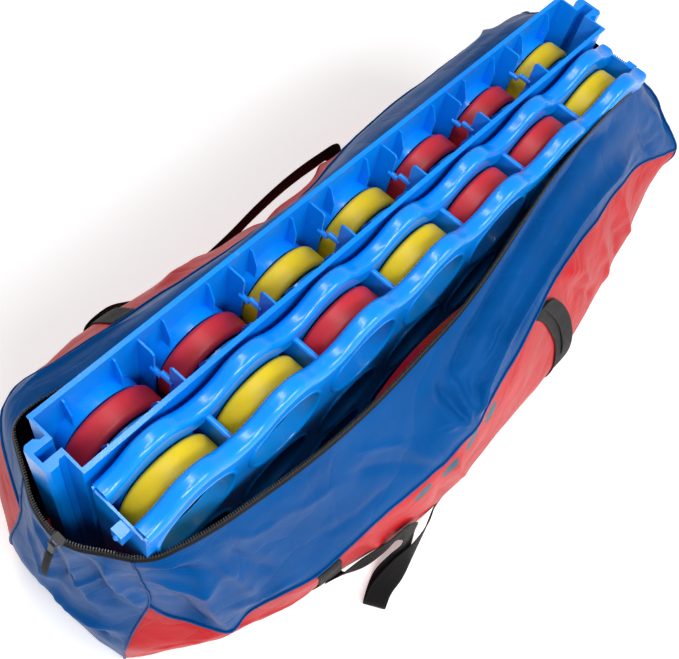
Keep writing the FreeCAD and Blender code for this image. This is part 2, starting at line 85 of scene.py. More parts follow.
def make_floor():
    """A wide pale floor with a little glow of its own, which keeps the shadows soft."""
    mesh = bpy.data.meshes.new("floor")
    corners = [(x * FLOOR_SPAN, y * FLOOR_SPAN, 0)
               for x, y in ((-1, -1), (1, -1), (1, 1), (-1, 1))]
    mesh.from_pydata(corners, [], [(0, 1, 2, 3)])
    floor = bpy.data.objects.new("floor", mesh)
    scene.collection.objects.link(floor)
    paint = new_material("floor_paint")
    shader = paint.node_tree.nodes["Principled BSDF"]
    shader.inputs["Base Color"].default_value = (FLOOR_TONE, FLOOR_TONE, FLOOR_TONE, 1)
    shader.inputs["Roughness"].default_value = FLOOR_ROUGHNESS
    shader.inputs["Emission Color"].default_value = (1, 1, 1, 1)
    shader.inputs["Emission Strength"].default_value = FLOOR_GLOW
    mesh.materials.append(paint)


def make_sky():
    """A pale studio world, brightest at the horizon."""
    world = bpy.data.worlds.new("studio")
    scene.world = world
    world.use_nodes = True
    tree = world.node_tree
    sky, ramp = tree.nodes.new("ShaderNodeTexCoord"), tree.nodes.new("ShaderNodeValToRGB")
    height = tree.nodes.new("ShaderNodeSeparateXYZ")
    tree.links.new(sky.outputs["Generated"], height.inputs["Vector"])
    tree.links.new(height.outputs["Z"], ramp.inputs["Fac"])
    low, high = ramp.color_ramp.elements
    low.color = (SKY_LOW, SKY_LOW, SKY_LOW, 1)
    high.color = (SKY_HIGH, SKY_HIGH, SKY_HIGH, 1)
    high.position = SKY_HIGH_FROM
    tree.links.new(ramp.outputs["Color"], tree.nodes["Background"].inputs["Color"])


def area_light(name, place, target, size, watts):
    data = bpy.data.lights.new(name, "AREA")
    data.shape = "RECTANGLE"
    data.size, data.size_y = size
    data.energy = watts
    light = bpy.data.objects.new(name, data)
    light.location = place
    light.rotation_mode = "QUATERNION"
    light.rotation_quaternion = (Vector(target) - Vector(place)).to_track_quat("-Z", "Y")
    scene.collection.objects.link(light)


# ---- materials --------------------------------------------------------------------------
def new_material(name):
    material = bpy.data.materials.new(name)
    material.use_nodes = True
    return material


CRUMPLE_BEND, CRUMPLE_REACH = 0.16, 0.25


class Paint:
    """A small helper that adds nodes to one material's tree."""

    def __init__(self, name):
        self.material = new_material(name)
        self.tree = self.material.node_tree
        self.shader = self.tree.nodes["Principled BSDF"]
        self.where = self.node("ShaderNodeTexCoord")

    def node(self, kind, **settings):
        made = self.tree.nodes.new(kind)
        for key, value in settings.items():
            setattr(made, key, value)
        return made

    def link(self, out, into):
        self.tree.links.new(out, into)

    def uv(self):
        """The piece's own UV, split into X and Y."""
        split = self.node("ShaderNodeSeparateXYZ")
        self.link(self.where.outputs["UV"], split.inputs["Vector"])
        return split.outputs["X"], split.outputs["Y"]

    def noise(self, scale, detail, roughness=0.5, stretch=None):
        made = self.node("ShaderNodeTexNoise")
        made.inputs["Scale"].default_value = scale
        made.inputs["Detail"].default_value = detail
        made.inputs["Roughness"].default_value = roughness
        source = self.where.outputs["Object"]
        if stretch:
            mapping = self.node("ShaderNodeMapping")
            mapping.inputs["Scale"].default_value = stretch
            self.link(source, mapping.inputs["Vector"])
            source = mapping.outputs["Vector"]
        self.link(source, made.inputs["Vector"])
        return made.outputs["Fac"]

    def crumple(self, scale):
        """A net of sharp little creases, as in cloth that has been bunched up."""
        warp = self.node("ShaderNodeTexNoise")
        warp.inputs["Scale"].default_value = scale * 0.6
        warp.inputs["Detail"].default_value = 3.0
        self.link(self.where.outputs["Object"], warp.inputs["Vector"])
        bent = self.node("ShaderNodeVectorMath", operation="MULTIPLY_ADD")
        bent.inputs[1].default_value = (CRUMPLE_BEND, CRUMPLE_BEND, CRUMPLE_BEND)
        self.link(warp.outputs["Color"], bent.inputs[0])
        self.link(self.where.outputs["Object"], bent.inputs[2])
        cells = self.node("ShaderNodeTexVoronoi", feature="DISTANCE_TO_EDGE")
        cells.inputs["Scale"].default_value = scale
        self.link(bent.outputs["Vector"], cells.inputs["Vector"])
        return self.math("SQRT",
                         self.math("MINIMUM", cells.outputs["Distance"], CRUMPLE_REACH))

    def ramp(self, value, stops):
        made = self.node("ShaderNodeValToRGB")
        for element, (at, colour) in zip(made.color_ramp.elements, stops):
            element.position = at
            element.color = (*colour, 1.0)
        self.link(value, made.inputs["Fac"])
        return made.outputs["Color"]

    def math(self, operation, *values):
        made = self.node("ShaderNodeMath", operation=operation)
        for socket, value in zip(made.inputs, values):
            if isinstance(value, (int, float)):
                socket.default_value = value
            else:
                self.link(value, socket)
        return made.outputs["Value"]

    def sine(self, value, pitch):
        """A wave over a length in metres, which repeats after each pitch."""
        return self.math("SINE", self.math("MULTIPLY", value, 2 * math.pi / pitch))

    def mix(self, factor, a, b, blend="MIX"):
        made = self.node("ShaderNodeMix", data_type="RGBA", blend_type=blend)
        for socket, value in ((made.inputs["Factor"], factor), (made.inputs["A"], a),
                              (made.inputs["B"], b)):
            if isinstance(value, (int, float)):
                socket.default_value = value
            elif isinstance(value, tuple):
                socket.default_value = (*value, 1.0)
            else:
                self.link(value, socket)
        return made.outputs["Result"]

    def colour(self, value):
        self.link(value, self.shader.inputs["Base Color"])

    def rough(self, value, low, high):
        made = self.node("ShaderNodeMapRange")
        made.inputs["To Min"].default_value = low
        made.inputs["To Max"].default_value = high
        self.link(value, made.inputs["Value"])
        self.link(made.outputs["Result"], self.shader.inputs["Roughness"])

    def bump(self, height, distance, strength, under=None):
        made = self.node("ShaderNodeBump")
        made.inputs["Distance"].default_value = distance
        made.inputs["Strength"].default_value = strength
        self.link(height, made.inputs["Height"])
        if under is not None:
            self.link(under, made.inputs["Normal"])
        self.link(made.outputs["Normal"], self.shader.inputs["Normal"])
        return made.outputs["Normal"]


BLACK, WHITE = (0, 0, 0), (1, 1, 1)
CLOTH_SPECULAR = 0.16


def moulded_plastic(name, light, dark):
    """Glossy moulded polyethylene: faint flow marks, ripple and scuffs."""
    paint = Paint(name)
    flow = paint.noise(scale=5.0, detail=4.0, roughness=0.55, stretch=(1.0, 1.0, 0.35))
    tone = paint.ramp(flow, [(0.3, dark), (0.7, light)])
    scratch = paint.noise(scale=38.0, detail=6.0, roughness=0.7, stretch=(1.0, 1.0, 6.0))
    worn = paint.math("MULTIPLY", paint.ramp(scratch, [(0.60, BLACK), (0.78, WHITE)]), 0.25)
    pale = tuple(min(1.0, channel * 0.6 + 0.25) for channel in light)
    paint.colour(paint.mix(worn, tone, pale))
    paint.rough(scratch, low=0.16, high=0.32)
    ripple = paint.bump(paint.noise(scale=24.0, detail=2.0), distance=0.0009, strength=0.35)
    paint.bump(paint.noise(scale=420.0, detail=2.0), distance=0.00015, strength=0.25,
               under=ripple)
    paint.shader.inputs["IOR"].default_value = 1.51
    paint.shader.inputs["Subsurface Weight"].default_value = 0.05
    paint.shader.inputs["Subsurface Radius"].default_value = (0.004, 0.004, 0.006)
    return paint.material


def disc_plastic(name, light, dark, scuff):
    """Satin moulded disc: cloudy colour, handling marks and fine grain."""
    paint = Paint(name)
    cloud = paint.noise(scale=14.0, detail=5.0, roughness=0.6)
    tone = paint.ramp(cloud, [(0.32, dark), (0.62, light)])
    marks = paint.noise(scale=60.0, detail=8.0, roughness=0.75, stretch=(1.0, 2.4, 1.0))
    worn = paint.math("MULTIPLY", paint.ramp(marks, [(0.58, BLACK), (0.80, WHITE)]), 0.35)
    paint.colour(paint.mix(worn, tone, scuff))
    paint.rough(marks, low=0.34, high=0.58)
    dents = paint.bump(paint.noise(scale=30.0, detail=3.0), distance=0.0008, strength=0.3)
    paint.bump(paint.noise(scale=600.0, detail=2.0), distance=0.0001, strength=0.35,
               under=dents)
    return paint.material


def metal(name, tone, low, high, metallic=1.0):
    """Cast or plated metal with faint mottling."""
    paint = Paint(name)
    mottling = paint.noise(scale=180.0, detail=4.0)
    darker = tuple(channel * 0.7 for channel in tone)
    paint.colour(paint.ramp(mottling, [(0.35, darker), (0.65, tone)]))
    paint.rough(mottling, low, high)
    paint.bump(paint.noise(scale=900.0, detail=2.0), distance=0.00006, strength=0.3)
    paint.shader.inputs["Metallic"].default_value = metallic
    return paint.material


WAVE_PERIOD = 0.314          # of the wave texture at a scale of 1


def woven(name, light, dark, step=0.0007, low=0.34, high=0.50, dots=False):
    """Coated cloth: the weave runs with the piece's own UV and repeats every 2 pi steps."""
    paint = Paint(name)
    cloud = paint.noise(scale=7.0, detail=5.0, roughness=0.6)
    tone = paint.ramp(cloud, [(0.3, dark), (0.7, light)])
    threads = []
    for axis in ("X", "Y"):
        wave = paint.node("ShaderNodeTexWave", wave_type="BANDS", bands_direction=axis)
        wave.inputs["Scale"].default_value = 1.0 / step / (2 * math.pi) * WAVE_PERIOD
        wave.inputs["Distortion"].default_value = 0.4
        wave.inputs["Detail"].default_value = 1.0
        paint.link(paint.where.outputs["UV"], wave.inputs["Vector"])
        threads.append(wave.outputs["Fac"])
    weave = paint.math("MAXIMUM", *threads)
    shade = paint.ramp(weave, [(0.0, (0.80, 0.80, 0.80)), (1.0, WHITE)])
    if dots:
        tone = paint.mix(printed_dots(paint), tone, PRINT_COLOUR)
    paint.colour(paint.mix(1.0, tone, shade, blend="MULTIPLY"))
    paint.rough(paint.noise(scale=22.0, detail=4.0), low, high)
    crumple = paint.bump(paint.crumple(scale=9.0), distance=0.006, strength=0.35)
    crease = paint.bump(paint.noise(scale=34.0, detail=5.0, roughness=0.6), distance=0.0022,
                        strength=0.35, under=crumple)
    paint.bump(weave, distance=0.00018, strength=0.5, under=crease)
    paint.shader.inputs["Specular IOR Level"].default_value = CLOTH_SPECULAR
    tint = [0.25 + 0.75 * channel / max(light) for channel in light]
    paint.shader.inputs["Specular Tint"].default_value = (*tint, 1.0)
    return paint.material


PRINT_COLOUR = (0.012, 0.105, 0.15)
PRINT_START, PRINT_PITCH, PRINT_RADIUS, PRINT_UP = 0.455, 0.058, 0.017, 0.258
PRINT_COUNT = 4.0


def printed_dots(paint):
    """A plain printed row of four dots under the seam, placed by the cloth's UV."""
    across, upward = paint.uv()
    steps = paint.math("DIVIDE", paint.math("SUBTRACT", across, PRINT_START), PRINT_PITCH)
    along = paint.math("MULTIPLY", paint.math("SUBTRACT", paint.math("FRACT", steps), 0.5),
                       PRINT_PITCH)
    up = paint.math("SUBTRACT", upward, PRINT_UP)
    reach = paint.math("SQRT", paint.math("ADD", paint.math("MULTIPLY", along, along),
                                          paint.math("MULTIPLY", up, up)))
    inside = paint.math("LESS_THAN", reach, PRINT_RADIUS)
    run = paint.math("MULTIPLY", paint.math("GREATER_THAN", steps, 0.0),
                     paint.math("LESS_THAN", steps, PRINT_COUNT))
    return paint.math("MULTIPLY", inside, run)


RIB_PITCH, GRAIN_PITCH, STITCH_REACH = 0.0022, 0.0016, 0.0006


def webbing_material(name, light, dark, stitch_at=0.0165, dash_pitch=0.005):
    """Nylon webbing: ribs across the band and a row of stitches near each edge."""
    paint = Paint(name)
    across, along = paint.uv()
    weave = paint.math("MULTIPLY", paint.sine(along, RIB_PITCH), paint.sine(across, GRAIN_PITCH))
    off_line = paint.math("SUBTRACT", paint.math("ABSOLUTE", across), stitch_at)
    near = paint.math("LESS_THAN", paint.math("ABSOLUTE", off_line), STITCH_REACH)
    dash = paint.math("GREATER_THAN", paint.sine(along, dash_pitch), -0.2)
    stitch = paint.math("MULTIPLY", near, dash)
    cloud = paint.noise(scale=40.0, detail=4.0)
    tone = paint.ramp(cloud, [(0.3, dark), (0.7, light)])
    thread = tuple(min(1.0, channel * 2.2 + 0.015) for channel in light)
    paint.colour(paint.mix(stitch, tone, thread))
    paint.rough(cloud, low=0.5, high=0.72)
    ribs = paint.bump(weave, distance=0.0004, strength=0.6)
    paint.bump(stitch, distance=0.0006, strength=0.6, under=ribs)
    paint.shader.inputs["Specular IOR Level"].default_value = CLOTH_SPECULAR
    return paint.material


RED_LIGHT, RED_DARK = (0.56, 0.008, 0.013), (0.45, 0.005, 0.009)
BLACK_LIGHT, BLACK_DARK = (0.006, 0.006, 0.0065), (0.003, 0.003, 0.0035)
panel_blue = moulded_plastic("panel_blue", (0.0, 0.265, 0.86), (0.0, 0.215, 0.78))
disc_red = disc_plastic("disc_red", (0.56, 0.022, 0.030), (0.46, 0.014, 0.022),
                        (0.70, 0.12, 0.12))
disc_yellow = disc_plastic("disc_yellow", (0.72, 0.52, 0.005), (0.62, 0.44, 0.004),
                           (0.84, 0.72, 0.16))
screw_steel = metal("screw_steel", (0.55, 0.55, 0.54), 0.25, 0.45)
slider_black = metal("slider_black", (0.022, 0.022, 0.024), 0.28, 0.45, metallic=0.35)
cloth_blue = woven("cloth_blue", (0.0, 0.074, 0.28), (0.0, 0.055, 0.215))
cloth_red = woven("cloth_red", RED_LIGHT, RED_DARK)
cloth_red_front = woven("cloth_red_front", RED_LIGHT, RED_DARK, dots=True)
# The facing inside the zip: a darker copy of the red cloth, painted shade.
red_painted_shade = woven("red_painted_shade", (0.36, 0.006, 0.010), (0.28, 0.004, 0.008))
# Near-black navy for the inside faces of every bag piece: painted shade for the dark inside of the
# bag.
inside_painted_shade = woven("inside_painted_shade", (0.001, 0.006, 0.024), (0.001, 0.004, 0.016))
piping_blue = woven("piping_blue", (0.0, 0.062, 0.245), (0.0, 0.048, 0.195), step=0.0012)
webbing_black = webbing_material("webbing_black", BLACK_LIGHT, BLACK_DARK)
zip_black = woven("zip_black", BLACK_LIGHT, BLACK_DARK, step=0.001, low=0.5, high=0.7)
tab_black = webbing_material("tab_black", (0.008, 0.008, 0.0085), (0.004, 0.004, 0.0045),
                             stitch_at=0.0043, dash_pitch=0.003)
zip_teeth = metal("zip_teeth", (0.05, 0.05, 0.052), 0.2, 0.35, metallic=0.5)
SLOT_MATERIALS = {"panel_blue": panel_blue, "disc_red": disc_red, "disc_yellow": disc_yellow,
                  "screw_steel": screw_steel, "slider_black": slider_black}


def paint_cad():
    """Every CAD node whose shape is right keeps it and gets a finish."""
    for sub in frame["record"]["subparts"]:
        if sub["material_slot"] not in SLOT_MATERIALS:
            continue
        mesh = nodes[sub["node"]].data
        mesh.materials.clear()
        mesh.materials.append(SLOT_MATERIALS[sub["material_slot"]])
        mesh.polygons.foreach_set("material_index", [0] * len(mesh.polygons))


# ---- the bag's cloth --------------------------------------------------------------------
# The bag is one wall of cloth that goes up through five rings: the floor, the belly, the
# seam between side and flap, the flap and the zip. Each ring has four sides of stations
# (x, y, z) in millimetres, which share their corners: front, right, back and left.
RINGS = {
    "floor": {
        "front": [(-664, -58, 2), (-640, -80, 2), (-608, -98, 2), (-560, -124, 2), (-500, -150, 2),
                  (-400, -176, 2), (-250, -205, 2), (-100, -216, 2), (100, -216, 2),
                  (250, -206, 2), (400, -184, 2), (520, -152, 2), (620, -112, 2), (655, -72, 2)],
        "right": [(655, -72, 2), (664, -20, 2), (666, 60, 2), (662, 140, 2), (645, 175, 2)],
        "back": [(-650, 178, 2), (-600, 196, 2), (-480, 204, 2), (-200, 206, 2), (200, 206, 2),
                 (480, 204, 2), (600, 194, 2), (645, 175, 2)],
        "left": [(-664, -58, 2), (-668, -20, 2), (-670, 60, 2), (-668, 140, 2), (-650, 178, 2)]},
    "belly": {
        "front": [(-668, -66, 70), (-639, -92, 88), (-608, -113, 88), (-580, -134, 88),
                  (-547, -156, 90), (-507, -170, 90), (-468, -187, 90), (-423, -198, 90),
                  (-377, -210, 90), (-329, -222, 90), (-250, -243, 90), (-179, -258, 90),
                  (-117, -265, 90), (-40, -268, 90), (32, -265, 90), (119, -261, 90),
                  (199, -258, 90), (309, -245, 92), (433, -223, 95), (520, -206, 100),
                  (583, -189, 105), (640, -168, 110), (682, -135, 110)],
        "right": [(682, -135, 110), (692, -90, 100), (696, 0, 95), (696, 100, 95), (690, 180, 95),
                  (668, 232, 95)],
        "back": [(-676, 165, 92), (-650, 205, 92), (-590, 245, 92), (-480, 272, 92),
                 (-350, 288, 92), (-200, 298, 92), (0, 302, 92), (200, 302, 92), (350, 299, 92),
                 (500, 288, 92), (600, 268, 92), (668, 232, 95)],
        "left": [(-668, -66, 70), (-678, -20, 85), (-683, 40, 90), (-684, 90, 92), (-683, 130, 92),
                 (-676, 165, 92)]},
    "seam": {
        "front": [(-617, -70, 230), (-607, -92, 200), (-591, -116, 175), (-574, -139, 155),
                  (-554, -163, 150), (-515, -171, 175), (-471, -187, 190), (-420, -206, 205),
                  (-384, -212, 215), (-291, -221, 235), (-245, -229, 245), (-176, -237, 265),
                  (-109, -234, 285), (-14, -218, 300), (68, -204, 310), (132, -187, 318),
                  (213, -169, 325), (282, -161, 326), (369, -152, 320), (466, -142, 310),
                  (559, -137, 290), (628, -149, 270), (688, -160, 255)],
        "right": [(688, -160, 255), (697, -110, 255), (700, -20, 260), (698, 100, 270),
                  (688, 190, 290), (650, 240, 315)],
        "back": [(-655, 133, 300), (-640, 168, 335), (-610, 220, 345), (-560, 252, 348),
                 (-480, 248, 350), (-400, 240, 350), (-310, 232, 350), (-200, 222, 350),
                 (-100, 219, 350), (0, 221, 348), (60, 229, 346), (110, 240, 342),
                 (250, 246, 345), (400, 242, 350), (520, 240, 348), (600, 240, 335),
                 (650, 240, 315)],
        "left": [(-617, -70, 230), (-642, -36, 240), (-662, 2, 250), (-672, 45, 262),
                 (-672, 85, 280), (-655, 133, 300)]},
    "flap": {
        "front": [(-617, -62, 320), (-600, -80, 318), (-575, -108, 300), (-540, -132, 290),
                  (-500, -142, 295), (-440, -152, 308), (-380, -162, 318), (-290, -172, 328),
                  (-200, -180, 338), (-100, -178, 350), (0, -168, 362), (80, -155, 372),
                  (160, -138, 384), (250, -122, 400), (370, -108, 404), (470, -102, 402),
                  (550, -104, 392), (610, -100, 372), (650, -92, 350)],
        "right": [(650, -92, 350), (660, -40, 352), (664, 40, 356), (655, 130, 362),
                  (615, 205, 378)],
        "back": [(-650, 128, 356), (-632, 168, 378), (-612, 200, 388), (-590, 218, 392),
                 (-555, 222, 394), (-484, 214, 394), (-350, 204, 394), (-200, 198, 396),
                 (-50, 196, 396), (60, 200, 396), (210, 204, 400), (400, 204, 408),
                 (520, 205, 404), (615, 205, 378)],
        "left": [(-617, -62, 320), (-642, -28, 325), (-660, 12, 330), (-668, 50, 335),
                 (-664, 90, 345), (-650, 128, 356)]},
    "zip": {
        "front": [(-618, -50, 408), (-602, -64, 406), (-567, -79, 405), (-514, -94, 405),
                  (-453, -105, 406), (-388, -115, 407), (-317, -122, 408), (-234, -125, 410),
                  (-142, -123, 413), (-43, -119, 418), (60, -106, 428), (150, -91, 446),
                  (230, -78, 466), (300, -72, 478), (400, -66, 480), (480, -64, 472),
                  (540, -58, 452), (584, -42, 430)],
        "right": [(584, -42, 430), (590, -20, 426), (592, 40, 424), (590, 110, 424),
                  (572, 160, 428)],
        "back": [(-641, 122, 408), (-628, 150, 408), (-613, 180, 408), (-592, 192, 408),
                 (-560, 192, 409), (-500, 182, 410), (-400, 172, 412), (-200, 168, 416),
                 (0, 168, 420), (200, 170, 424), (400, 172, 428), (520, 170, 428),
                 (572, 160, 428)],
        "left": [(-618, -50, 408), (-637, -20, 409), (-655, 6, 413), (-663, 28, 415),
                 (-663, 58, 412), (-654, 95, 408), (-641, 122, 408)]},
}
WAIST_PUSH = [               # along the back: x, then how far its waist goes out and up
    (-676, 0, 0), (-600, 14, 25), (-520, 34, 46), (-394, 35, 48), (-300, 25, 48),
    (-178, 10, 48), (-45, 3, 48), (60, -6, 46), (174, 0, 40), (350, 0, 30), (500, 0, 15),
    (668, 0, 0)]
# Each ring's share of the wall's height. Two more rings, low and waist, are worked out: the
# low ring lies on the way from the floor to the belly, and the waist between belly and seam,
# pushed out by some millimetres.
ROW_OF = {"floor": 0.0, "low": 0.08, "belly": 0.22, "waist": 0.39, "seam": 0.56, "flap": 0.79,
          "zip": 1.0}
LOW_BLEND = (0.74, 0.74, 0.26)
WAIST_BLEND, WAIST_OUT = 0.56, 7.0
COLUMNS = {"front": 210, "right": 50, "back": 160, "left": 50}
AROUND = sum(COLUMNS.values())
ROWS = 80
SHARES = np.linspace(0, 1, ROWS + 1)
SEAM_ROW = round(ROW_OF["seam"] * ROWS)
SIDE_START = {"front": 0, "right": COLUMNS["front"],
              "back": COLUMNS["front"] + COLUMNS["right"], "left": AROUND - COLUMNS["left"]}


def hermite(at, knots, values):
    """A smooth curve through values (knots, ...) at the knots, sampled at at."""
    knots, values = np.asarray(knots, float), np.asarray(values, float)
    shape = (-1, *([1] * (values.ndim - 1)))
    steps = np.diff(knots)
    slopes = np.diff(values, axis=0) / steps.reshape(shape)
    tangents = np.empty_like(values)
    tangents[0], tangents[-1] = slopes[0], slopes[-1]
    weight = (steps[1:] / (steps[1:] + steps[:-1])).reshape(shape)
    tangents[1:-1] = slopes[:-1] * weight + slopes[1:] * (1 - weight)
    cell = np.clip(np.searchsorted(knots, at, side="right") - 1, 0, len(knots) - 2)
    t = ((at - knots[cell]) / steps[cell]).reshape(shape)
    h = steps[cell].reshape(shape)
    a, b = values[cell], values[cell + 1]
    ta, tb = tangents[cell] * h, tangents[cell + 1] * h
    return (a * (2 * t ** 3 - 3 * t ** 2 + 1) + ta * (t ** 3 - 2 * t ** 2 + t)
            + b * (3 * t ** 2 - 2 * t ** 3) + tb * (t ** 3 - t ** 2))


def side_points(stations, axis, count):
    """count points along one side of a ring, evenly spaced along x or y."""
    table = np.array(stations, float)
    table = table[np.argsort(table[:, axis])]
    at = np.linspace(table[0, axis], table[-1, axis], count)
    return hermite(at, table[:, axis], table)


def ring_points(ring):
    """One closed ring, from the front left corner by way of the right end and the back."""
    front = side_points(ring["front"], 0, COLUMNS["front"] + 1)
    right = side_points(ring["right"], 1, COLUMNS["right"] + 1)
    back = side_points(ring["back"], 0, COLUMNS["back"] + 1)[::-1]
    left = side_points(ring["left"], 1, COLUMNS["left"] + 1)[::-1]
    return np.vstack([front[:-1], right[:-1], back[:-1], left[:-1]])


def unit(vectors):
    return vectors / np.linalg.norm(vectors, axis=-1, keepdims=True)


def bag_grid():
    """The wall of cloth as rows of points, from the floor to the zip, millimetres."""
    rings = {name: ring_points(ring) for name, ring in RINGS.items()}
    floor, belly = rings["floor"], rings["belly"]
    rings["low"] = floor + (belly - floor) * np.array(LOW_BLEND)
    outward = belly - belly.mean(axis=0)
    outward[:, 2] = 0
    waist = belly * WAIST_BLEND + rings["seam"] * (1 - WAIST_BLEND) + unit(outward) * WAIST_OUT
    back = slice(SIDE_START["back"], SIDE_START["left"])
    push = np.array(WAIST_PUSH, float)
    waist[back, 1:] += hermite(waist[back, 0], push[:, 0], push[:, 1:])
    rings["waist"] = waist
    return hermite(SHARES, list(ROW_OF.values()), np.stack([rings[name] for name in ROW_OF]))


# Folds as strokes on the cloth: the side, the points (place along the side, height share),
# how far the cloth stands out in millimetres (in, where negative) and the fold's half width.
FOLDS = [
    ("left", [(-22, 0.96), (-28, 0.84), (-44, 0.68), (-66, 0.55)], 12, 10),
    ("left", [(22, 0.94), (6, 0.60), (-22, 0.47)], 11, 11),
    ("left", [(0, 0.95), (-10, 0.75), (-30, 0.55)], -12, 11),
    ("left", [(88, 0.95), (52, 0.78), (72, 0.40)], 11, 15),
    ("left", [(70, 0.92), (35, 0.74), (45, 0.42)], -10, 12),
    ("left", [(64, 0.42), (14, 0.38), (-50, 0.40)], 13, 12),
    ("left", [(60, 0.33), (10, 0.29), (-45, 0.31)], -18, 15),
    ("left", [(110, 0.60), (80, 0.52), (30, 0.50)], 9, 13),
    ("left", [(40, 0.70), (10, 0.66), (-40, 0.74)], 7, 9),
    ("front", [(-612, 0.97), (-585, 0.965), (-562, 0.95)], 13, 9),
    ("front", [(-593, 0.92), (-576, 0.90), (-555, 0.885)], -19, 9),
    ("front", [(-610, 0.83), (-588, 0.81), (-560, 0.80), (-540, 0.83)], 13, 10),
    ("front", [(-560, 0.90), (-562, 0.74), (-550, 0.56)], 12, 11),
    ("front", [(-590, 0.74), (-585, 0.64), (-575, 0.56)], -12, 12),
    ("front", [(-536, 0.90), (-514, 0.78), (-500, 0.65)], 9, 9),
    ("front", [(-520, 0.92), (-495, 0.80), (-470, 0.70)], -8, 11),
    ("front", [(-500, 0.95), (-480, 0.90), (-430, 0.88)], 6, 8),
    ("front", [(-545, 0.70), (-500, 0.62), (-440, 0.60)], 7, 10),
    ("front", [(-450, 0.93), (-400, 0.86), (-330, 0.84)], 4, 16),
    ("front", [(-420, 0.72), (-330, 0.66), (-250, 0.66)], -4, 20),
    ("front", [(-300, 0.90), (-230, 0.80), (-174, 0.57)], 6, 10),
    ("front", [(-330, 0.86), (-250, 0.74), (-190, 0.58)], -5, 13),
    ("front", [(-150, 0.93), (-145, 0.80), (-135, 0.62)], 5, 14),
    ("front", [(-130, 0.86), (-121, 0.75), (-113, 0.60)], -9, 6),
    ("front", [(-96, 0.84), (-104, 0.72), (-112, 0.60)], 8, 6),
    ("front", [(-160, 0.70), (-130, 0.66), (-108, 0.60)], 6, 6),
    ("front", [(-112, 0.60), (-84, 0.66), (-70, 0.76)], -7, 6),
    ("front", [(-100, 0.60), (-63, 0.67), (9, 0.72), (92, 0.725), (182, 0.70), (328, 0.70),
               (495, 0.67)], 21, 22),
    ("front", [(-112, 0.80), (-30, 0.875), (87, 0.90), (239, 0.89), (408, 0.92)], -24, 26),
    ("front", [(-40, 0.76), (10, 0.80), (40, 0.79)], 7, 8),
    ("front", [(30, 0.63), (110, 0.62), (190, 0.62)], -5, 14),
    ("front", [(560, 0.85), (600, 0.74), (640, 0.60)], 9, 16),
    ("front", [(520, 0.78), (560, 0.66), (600, 0.58)], -9, 15),
    ("front", [(600, 0.92), (640, 0.80), (668, 0.66)], -7, 13),
    ("front", [(430, 0.62), (500, 0.60), (560, 0.60)], 6, 15),
    ("front", [(-151, 0.53), (-120, 0.38), (-66, 0.18)], 8, 12),
    ("front", [(-180, 0.46), (-150, 0.30), (-110, 0.15)], -7, 14),
    ("front", [(210, 0.54), (300, 0.47), (345, 0.36)], 9, 13),
    ("front", [(240, 0.48), (330, 0.38), (380, 0.28)], -10, 14),
    ("front", [(375, 0.48), (430, 0.36), (450, 0.22)], 8, 14),
    ("front", [(470, 0.52), (520, 0.40), (560, 0.26)], 9, 14),
    ("front", [(430, 0.50), (480, 0.38), (505, 0.24)], -9, 14),
    ("front", [(-330, 0.52), (-300, 0.36), (-260, 0.20)], 6, 12),
    ("front", [(-560, 0.44), (-480, 0.30), (-380, 0.22)], 5, 14),
    ("front", [(-640, 0.20), (-600, 0.30), (-570, 0.42)], 6, 12),
    ("back", [(-560, 0.74), (-470, 0.68), (-380, 0.70)], 7, 15),
    ("back", [(-300, 0.50), (-200, 0.42), (-120, 0.30)], 9, 20),
    ("back", [(-500, 0.46), (-420, 0.32), (-390, 0.16)], -10, 22),
    ("back", [(60, 0.52), (120, 0.40), (200, 0.30)], 10, 20),
    ("back", [(330, 0.52), (390, 0.36), (420, 0.18)], -11, 22),
    ("back", [(480, 0.66), (560, 0.52), (610, 0.34)], 11, 20),
    ("back", [(-80, 0.54), (-40, 0.36), (-60, 0.18)], -9, 22),
    ("right", [(-60, 0.90), (-40, 0.66), (-70, 0.40)], 9, 20),
    ("right", [(60, 0.92), (40, 0.66), (80, 0.36)], -11, 24),
    ("right", [(140, 0.86), (150, 0.60), (120, 0.30)], 10, 22),
]
SHARE_HEIGHT = 560.0         # millimetres of cloth from floor to zip
FOLD_TIP, FOLD_FADE = 0.25, (30.0, 0.6)      # height at a tip; it fades in over mm or a share
BROAD_CREASE, FINE_CREASE, END_CREASE = 5.0, 1.3, 1.6
END_FROM, END_OVER = 0.35, 0.3       # metres from the middle to where the ends' creases start
HEM, CREASE_HEM = 0.06, 0.05         # height shares over which folds and creases die out
FLOOR_CLEAR = 1.5            # no part of the wall goes below this, millimetres


def grid_normals(grid):
    along = np.roll(grid, -1, axis=1) - np.roll(grid, 1, axis=1)
    upward = np.gradient(grid, axis=0)
    return unit(np.cross(along, upward))


def distance_to(places, stroke):
    """How far each place (..., 2) is from a line through the stroke's points."""
    nearest = np.full(places.shape[:-1], np.inf)
    for start, end in zip(stroke[:-1], stroke[1:]):
        way = end - start
        t = np.clip(((places - start) @ way) / (way @ way), 0, 1)
        nearest = np.minimum(nearest, np.linalg.norm(places - start - t[..., None] * way, axis=-1))
    return nearest


def fold_heights(grid):
    """How far the listed folds push the cloth out, millimetres."""
    heights = np.zeros(grid.shape[:2])
    up = np.broadcast_to(SHARES[:, None] * SHARE_HEIGHT, grid.shape[:2])
    for side, points, reach, width in FOLDS:
        axis = 0 if side in ("front", "back") else 1
        columns = slice(SIDE_START[side], SIDE_START[side] + COLUMNS[side])
        places = np.stack([grid[:, columns, axis], up[:, columns]], axis=-1)
        stroke = np.array([(a, share * SHARE_HEIGHT) for a, share in points], float)
        near = distance_to(places, stroke) / width
        fade = 1.0
        for tip, inner in ((stroke[0], stroke[1]), (stroke[-1], stroke[-2])):
            gap = np.linalg.norm(places - tip, axis=-1)
            over = max(FOLD_FADE[0], FOLD_FADE[1] * np.linalg.norm(tip - inner))
            fade = fade * np.clip(FOLD_TIP + gap / over, 0, 1)
        crest = 0.5 / (1 + near ** 2) ** 1.5 + 0.6 * np.exp(-1.5 * near)
        heights[:, columns] += reach * fade * crest
    return heights


